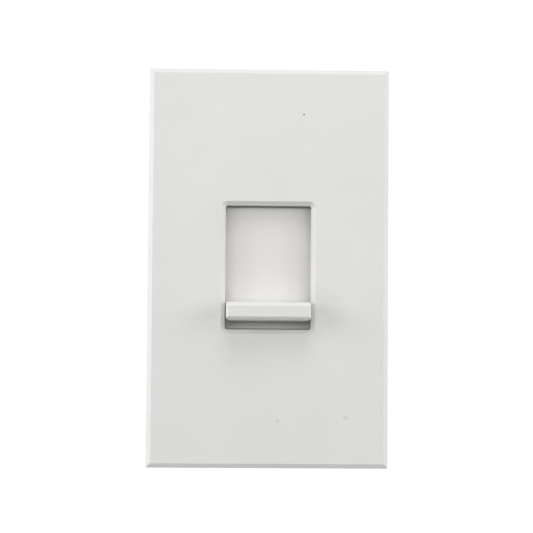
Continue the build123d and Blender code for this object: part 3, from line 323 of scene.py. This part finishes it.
def banded(name, colour, bands, pitch):
    """Coated body with rings of paint along Z, one every pitch."""
    s = Surface(name)
    wave = s.nodes.new("ShaderNodeTexWave")
    wave.wave_type = "BANDS"
    wave.bands_direction = "Z"
    wave.inputs["Scale"].default_value = WAVE_PERIOD / pitch
    wave.inputs["Distortion"].default_value = 0.0
    s.links.new(s.place, wave.inputs["Vector"])
    coat = s.noise(0.8 * MM, detail=4.0)
    base = s.ramp(coat, [(0.3, shade(colour, 0.9)), (0.7, shade(colour, 1.1))])
    ring = s.spread(wave.outputs["Fac"], 0.0, 1.0, 0.78, 0.84)
    tint = s.mix(ring, base, bands)
    return s.finish(tint, s.spread(coat, 0.25, 0.4), s.bump(coat, 0.01 * MM))


def painted(name, colour, roughness):
    """Metallic paint, worn lighter in patches."""
    s = Surface(name)
    wear = s.noise(1.0 * MM, detail=7.0, rough=0.7)
    tint = s.ramp(wear, [(0.35, shade(colour, 0.8)), (0.72, shade(colour, 1.35))])
    return s.finish(tint, s.spread(wear, roughness - 0.08, roughness + 0.12), s.bump(wear, 0.006 * MM),
                    Metallic=0.6)


# ---------------------------------------------------------------- what each slot looks like
WHITE = (0.74, 0.735, 0.72)
RECESS_WHITE = (0.81, 0.80, 0.785)
PLATE_FACE_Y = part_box("faceplate")[0].y
PLATE_MARKS = [  # centre, radius, strength
    (Vector((10.1 * MM, PLATE_FACE_Y, 44.6 * MM)), 0.36 * MM, 0.95),
    (Vector((3.0 * MM, PLATE_FACE_Y, -44.2 * MM)), 0.6 * MM, 0.22),
    (Vector((22.6 * MM, PLATE_FACE_Y, -43.2 * MM)), 0.9 * MM, 0.16),
]
PLATE_SHADE_AND_RUBS = [  # centre, reach, strength
    # painted shade: the plate darkened beside the knob's two ends, where the knob's shade falls
    (Vector((-14.5 * MM, PLATE_FACE_Y, -13.0 * MM)), 8 * MM, 0.24),
    (Vector((14.5 * MM, PLATE_FACE_Y, -13.0 * MM)), 9 * MM, 0.42),
    # a rubbed smudge up on the left, and a darker patch below the window
    (Vector((-15.0 * MM, PLATE_FACE_Y, 13.0 * MM)), 7 * MM, 0.10),
    (Vector((-9.0 * MM, PLATE_FACE_Y, -27.0 * MM)), 13 * MM, 0.14),
]

SLOT_LOOKS = {  # slot: maker and what it takes after the name
    "white_faceplate": (white_plastic, WHITE, 0.42, 0.12, PLATE_MARKS, PLATE_SHADE_AND_RUBS),
    "white_knob": (white_plastic, WHITE, 0.36, 0.10),
    "white_bezel": (white_plastic, RECESS_WHITE, 0.40, 0.08),
    "zinc_screws": (metal, (0.70, 0.71, 0.72), 0.24, (1.0, 1.0, 1.0), 0.6 * MM),
    "yoke_aluminium": (metal, (0.74, 0.75, 0.76), 0.36, (20.0, 20.0, 1.0), 5 * MM, 0.004 * MM, 0.05),
    "spring_steel": (metal, (0.42, 0.42, 0.44), 0.32, (1.0, 12.0, 12.0), 2 * MM),
    "steel_rivets": (metal, (0.62, 0.62, 0.63), 0.30, (1.0, 1.0, 1.0), 0.7 * MM),
    "black_housing": (moulded, (0.022, 0.022, 0.024), 0.46, 0.30 * MM, 0.012 * MM, 0.05),
    "fibre_sheet": (fibre_sheet, (0.33, 0.27, 0.19)),
    "acetal_carriage": (moulded, (0.72, 0.71, 0.67), 0.38),
    "felt": (felt, (0.12, 0.12, 0.13)),
    "plated_steel": (metal, (0.60, 0.60, 0.61), 0.26, (8.0, 8.0, 1.0), 2 * MM),
    "phenolic": (fibre_sheet, (0.22, 0.10, 0.04)),
    "carbon_track": (moulded, (0.02, 0.02, 0.02), 0.6),
    "silver_track": (metal, (0.72, 0.72, 0.70), 0.45),
    "acetal_slider": (moulded, (0.045, 0.045, 0.045), 0.4),
    "contact_bronze": (metal, (0.70, 0.43, 0.22), 0.28, (6.0, 6.0, 1.0), 1.5 * MM),
    "tinned_pins": (metal, (0.70, 0.70, 0.69), 0.30),
    "switch_plastic": (moulded, (0.09, 0.09, 0.10), 0.5),
    "contact_brass": (metal, (0.78, 0.58, 0.27), 0.25, (8.0, 8.0, 1.0), 2 * MM),
    "board_laminate": (board, (0.03, 0.16, 0.05)),
    "insulator_pad": (moulded, (0.42, 0.42, 0.41), 0.7),
    "semiconductor_black": (moulded, (0.028, 0.028, 0.028), 0.42, 0.2 * MM, 0.01 * MM),
    "tinned_tab": (metal, (0.66, 0.66, 0.65), 0.3, (10.0, 10.0, 1.0), 2 * MM),
    "iron_powder": (powder_core, (0.50, 0.44, 0.10)),
    "enamelled_wire": (metal, (0.62, 0.24, 0.09), 0.22, (4.0, 4.0, 4.0), 1 * MM),
    "capacitor_yellow": (moulded, (0.62, 0.44, 0.07), 0.4),
    "capacitor_red": (moulded, (0.38, 0.06, 0.035), 0.25, 1.2 * MM, 0.05 * MM, 0.1),
    "resistor_body": (banded, (0.55, 0.42, 0.27), (0.12, 0.03, 0.02), 1.3 * MM),
    "diac_glass": (banded, (0.07, 0.13, 0.33), (0.02, 0.02, 0.02), 3.0 * MM),
    "solder": (metal, (0.72, 0.72, 0.72), 0.28, (1.0, 1.0, 1.0), 0.4 * MM),
    "trimmer_blue": (moulded, (0.04, 0.13, 0.40), 0.42),
    "trimmer_white": (moulded, (0.72, 0.72, 0.69), 0.42),
    "terminal_brass": (metal, (0.76, 0.55, 0.24), 0.27, (6.0, 6.0, 1.0), 1.5 * MM),
    "green_screw": (painted, (0.03, 0.26, 0.09), 0.35),
}


def dress():
    """Gives every CAD node the material of its record slot."""
    looks = {}
    for entry in frame["record"]["subparts"]:
        slot = entry["material_slot"]
        if slot not in looks:
            maker, *values = SLOT_LOOKS[slot]
            looks[slot] = maker("look_" + slot, *values)
        piece = frame["nodes"][entry["node"]]
        piece.data.materials.clear()
        piece.data.materials.append(looks[slot])


# ---------------------------------------------------------------- studio
def direction(azimuth, elevation):
    """Unit vector from the object: azimuth 0 is straight in front, and 90 is to the right."""
    azimuth, elevation = math.radians(azimuth), math.radians(elevation)
    return Vector((
        math.sin(azimuth) * math.cos(elevation),
        -math.cos(azimuth) * math.cos(elevation),
        math.sin(elevation),
    ))


def panel(name, place, size, power):
    """Rectangular softbox at place, facing the object. Power is in watts."""
    light = bpy.data.lights.new(name, "AREA")
    light.shape = "RECTANGLE"
    light.size, light.size_y = size
    light.energy = power
    lamp = bpy.data.objects.new(name, light)
    lamp.location = place
    lamp.rotation_euler = (-place).to_track_quat("-Z", "Y").to_euler()
    bpy.context.scene.collection.objects.link(lamp)


def studio():
    """White world, pale round floor and the softboxes."""
    world = bpy.data.worlds.new("studio")
    bpy.context.scene.world = world
    world.use_nodes = True
    nodes, links = world.node_tree.nodes, world.node_tree.links
    nodes.clear()
    out = nodes.new("ShaderNodeOutputWorld")
    seen = nodes.new("ShaderNodeBackground")
    seen.inputs["Color"].default_value = (1.0, 1.0, 1.0, 1.0)
    seen.inputs["Strength"].default_value = BACKDROP_STRENGTH
    lit = nodes.new("ShaderNodeBackground")
    lit.inputs["Color"].default_value = (1.0, 1.0, 1.0, 1.0)
    lit.inputs["Strength"].default_value = WORLD_STRENGTH
    path = nodes.new("ShaderNodeLightPath")
    mixer = nodes.new("ShaderNodeMixShader")
    links.new(path.outputs["Is Camera Ray"], mixer.inputs["Fac"])
    links.new(lit.outputs["Background"], mixer.inputs[1])
    links.new(seen.outputs["Background"], mixer.inputs[2])
    links.new(mixer.outputs["Shader"], out.inputs["Surface"])

    bpy.ops.mesh.primitive_circle_add(vertices=FLOOR_SIDES, radius=FLOOR_RADIUS, fill_type="NGON",
                                      location=(0.0, 0.0, FLOOR_Z))
    floor = bpy.context.object
    floor.name = "floor"
    s = Surface("pale_floor")
    tone = s.noise(0.2, detail=3.0)
    tint = s.ramp(tone, [(0.3, FLOOR_TONES[0]), (0.7, FLOOR_TONES[1])])
    floor.data.materials.append(s.finish(tint, s.spread(tone, 0.7, 0.8)))

    for name, azimuth, elevation, size, power in SOFTBOXES:
        panel(name, direction(azimuth, elevation) * SOFTBOX_DISTANCE, size, power)


def camera():
    """The photographer's place: CAMERA_DISTANCE from the target, looking at it, slightly rolled."""
    back = direction(CAMERA_AZIMUTH, CAMERA_ELEVATION)
    data = bpy.data.cameras.new("camera")
    data.lens = LENS_MM
    data.sensor_width = SENSOR_MM
    data.clip_start = CLIP_NEAR
    data.clip_end = CLIP_FAR
    cam = bpy.data.objects.new("camera", data)
    bpy.context.scene.collection.objects.link(cam)
    look = (-back).to_track_quat("-Z", "Y").to_matrix().to_4x4()
    roll = Matrix.Rotation(math.radians(CAMERA_ROLL), 4, "Z")
    cam.matrix_world = Matrix.Translation(CAMERA_TARGET + back * CAMERA_DISTANCE) @ look @ roll
    bpy.context.scene.camera = cam


dress()
for node, width, segments in SOFT_EDGES:
    soften(node, width, segments)
studio()
camera()
bpy.context.scene.view_settings.view_transform = "Standard"
